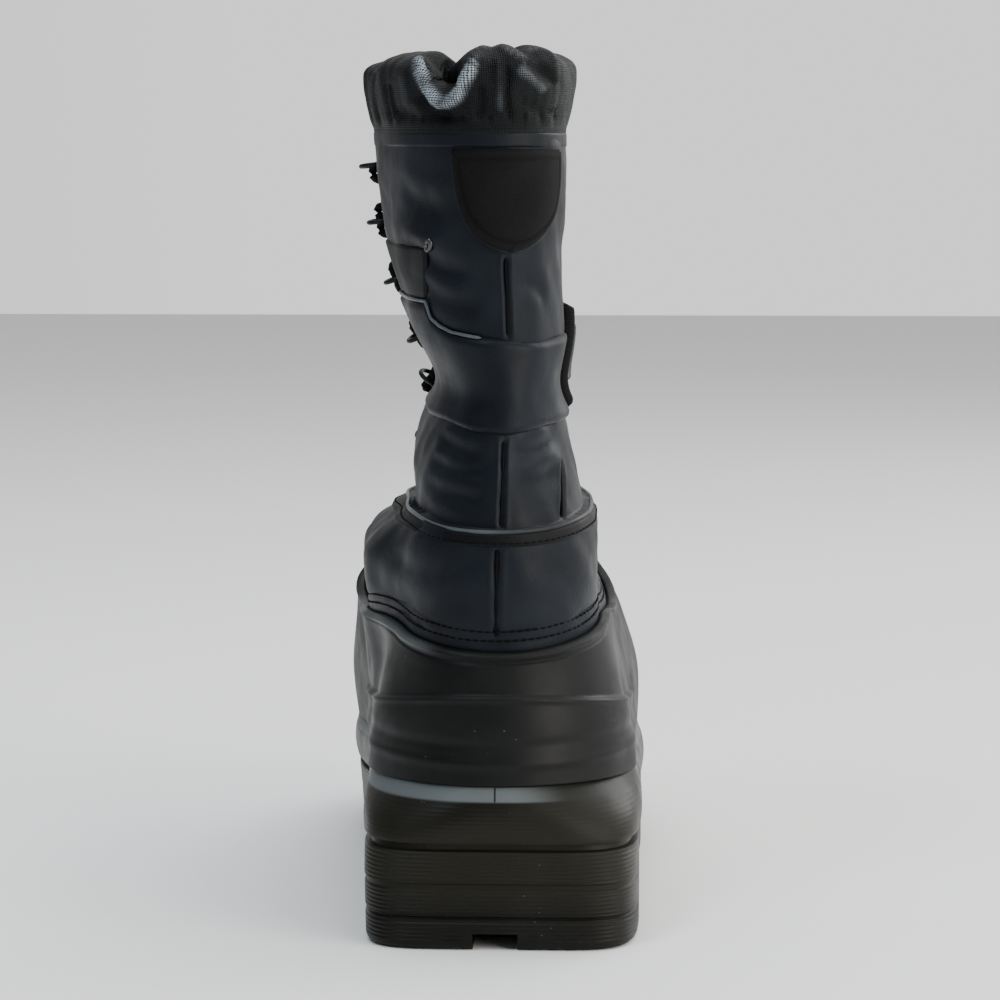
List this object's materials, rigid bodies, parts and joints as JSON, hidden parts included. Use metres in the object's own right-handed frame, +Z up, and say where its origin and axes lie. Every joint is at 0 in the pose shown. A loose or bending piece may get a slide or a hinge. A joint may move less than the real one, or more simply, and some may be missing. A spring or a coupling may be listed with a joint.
{
  "type": "snow boot",
  "caption": "Lace-up snow boot for the right foot, with a moulded rubber foot shell, a deep lugged sole, an ankle strap and a gathered snow collar.",
  "frame": {"origin": "on the flat tread of the heel, under the heel's middle", "axes": "+X to the outer side of the foot, +Y to the toe, +Z up"},
  "size_m": [0.121, 0.3048, 0.3198],
  "materials": {
    "sole_rubber": "satin moulded rubber",
    "shell_rubber": "smooth satin rubber",
    "coated_fabric": "matte coated synthetic leather",
    "pad_fabric": "fine woven fabric",
    "collar_nylon": "coarse shiny nylon weave",
    "webbing": "matte webbing",
    "lining": "brushed lining",
    "metal": "dark nickel"
  },
  "bodies": {
    "root": {"outsole": "sole_rubber", "shell": "shell_rubber", "upper": "coated_fabric", "insole": "lining", "tongue": "coated_fabric", "eyestay_medial": "coated_fabric", "eyestay_lateral": "coated_fabric", "ankle_strap": "coated_fabric", "strap_end": "webbing", "strap_keeper": "metal", "back_pad": "pad_fabric", "snow_collar": "collar_nylon", "lace": "webbing", "lace_ring_medial_1": "metal", "lace_ring_lateral_1": "metal", "lace_ring_medial_2": "metal", "lace_ring_lateral_2": "metal", "lace_ring_medial_3": "metal", "lace_ring_lateral_3": "metal", "lace_ring_medial_4": "metal", "lace_ring_lateral_4": "metal", "lace_ring_medial_5": "metal", "lace_ring_lateral_5": "metal", "lace_ring_medial_6": "metal", "lace_ring_lateral_6": "metal"}
  },
  "joints": []
}
